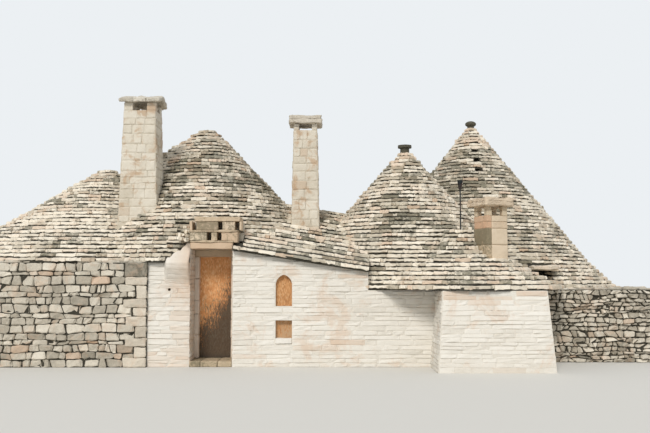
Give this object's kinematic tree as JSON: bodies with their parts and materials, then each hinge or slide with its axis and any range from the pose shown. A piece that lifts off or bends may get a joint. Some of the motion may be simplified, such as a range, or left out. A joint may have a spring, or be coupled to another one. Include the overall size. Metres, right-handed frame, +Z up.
{
  "type": "trullo house",
  "caption": "Dry stone house with conical corbelled slab roofs on thick limestone walls, tapered chimneys, a dovecote over the doorway and a hinged board door.",
  "frame": {"origin": "centre of the plan's box, at ground level", "axes": "+X to the right along the front wall, +Y from the front to the back, +Z up"},
  "size_m": [16.9449, 9.5198, 6.076],
  "materials": {
    "rubble_stone": "rough dry stone, weathered grey limestone",
    "inner_stone": "rough limestone, sheltered",
    "whitewash": "flaking whitewash over thin limestone courses",
    "floor_stone": "worn limestone slabs",
    "roof_stone": "dry laid limestone slabs, weathered grey and cream",
    "finial_stone": "dark weathered limestone",
    "cut_stone": "dressed limestone, tan",
    "chimney_wash": "whitewashed limestone blocks",
    "lichen_stone": "limestone blocks with orange lichen",
    "door_board": "pressed board, mouldy towards the foot",
    "door_timber": "sawn softwood",
    "dark_iron": "dark iron, matt"
  },
  "bodies": {
    "house": {"left_front_wall": "rubble_stone", "left_end_wall": "rubble_stone", "left_back_wall": "rubble_stone", "left_arch_wall": "inner_stone", "front_wall_left": "whitewash", "front_wall_right": "whitewash", "wall_over_door": "inner_stone", "middle_arch_wall": "inner_stone", "main_back_wall": "rubble_stone", "middle_back_wall": "inner_stone", "tall_arch_wall": "inner_stone", "alcove_wall": "whitewash", "alcove_arch_wall": "inner_stone", "right_front_wall": "rubble_stone", "right_end_wall": "rubble_stone", "tall_back_wall": "rubble_stone", "stone_floor": "floor_stone", "main_cone": "roof_stone", "low_cone": "roof_stone", "middle_cone": "roof_stone", "tall_cone": "roof_stone", "alcove_roof": "roof_stone", "saddle_roof": "roof_stone", "middle_finial": "finial_stone", "tall_finial": "finial_stone", "hood_slab": "cut_stone", "roof_mast": "dark_iron", "door_lintels": "cut_stone", "door_jambs": "cut_stone", "door_threshold": "cut_stone", "door_pintles": "dark_iron", "dovecote_slabs": "cut_stone", "dovecote_blocks": "cut_stone", "dovecote_back": "inner_stone", "window_boards": "door_board", "niche_sill": "whitewash", "left_chimney_stack": "chimney_wash", "left_chimney_head": "finial_stone", "middle_chimney_stack": "chimney_wash", "middle_chimney_head": "finial_stone", "small_chimney_stack": "lichen_stone", "small_chimney_head": "lichen_stone"},
    "door": {"door_leaf": "door_board", "door_ledges": "door_timber", "door_straps": "dark_iron"}
  },
  "joints": [
    {"name": "door_hinge", "type": "hinge", "parent": "house", "child": "door", "pos_m": [-1.8565, -2.782, 1.175], "axis": [0, 0, 1], "range_deg": [0, 95]}
  ]
}
